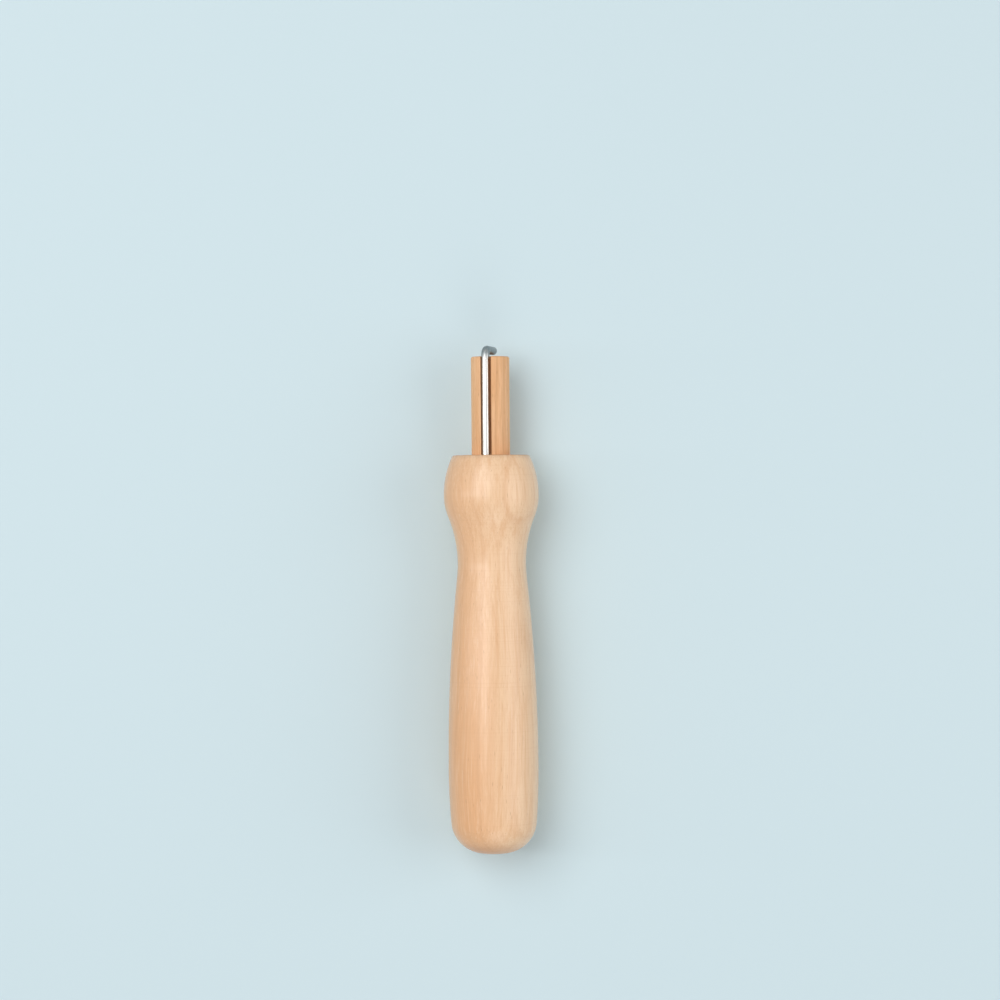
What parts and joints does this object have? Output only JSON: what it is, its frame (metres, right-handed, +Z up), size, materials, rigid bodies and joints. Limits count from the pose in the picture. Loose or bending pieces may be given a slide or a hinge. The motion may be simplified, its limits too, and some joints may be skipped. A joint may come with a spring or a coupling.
{
  "type": "felting needle",
  "caption": "Needle-felting hand tool: a barbed, hooked steel needle lies in the slot of a wooden peg, which pushes into a turned wooden handle that also stores the point.",
  "frame": {"origin": "middle of the tool's bounding box, at the surface that the tool lies on", "axes": "+Y along the tool, from the handle's rounded butt to the bent end of the needle; +Z up; the peg's slot and the needle face up, turned 14 degrees towards -X"},
  "size_m": [0.0228, 0.1216, 0.0228],
  "materials": {
    "handle_wood": "smooth turned, satin lacquer",
    "peg_wood": "sanded, bare",
    "needle_steel": "bright drawn wire"
  },
  "bodies": {
    "handle": {"handle": "handle_wood"},
    "peg": {"slotted_peg": "peg_wood"},
    "needle": {"needle": "needle_steel"}
  },
  "joints": [
    {"name": "peg_pull", "type": "slide", "parent": "handle", "child": "peg", "axis": [0, 1, 0], "range_m": [-0.005, 0.053]},
    {"name": "needle_draw", "type": "slide", "parent": "peg", "child": "needle", "axis": [0, 1, 0], "range_m": [0, 0.076]}
  ]
}
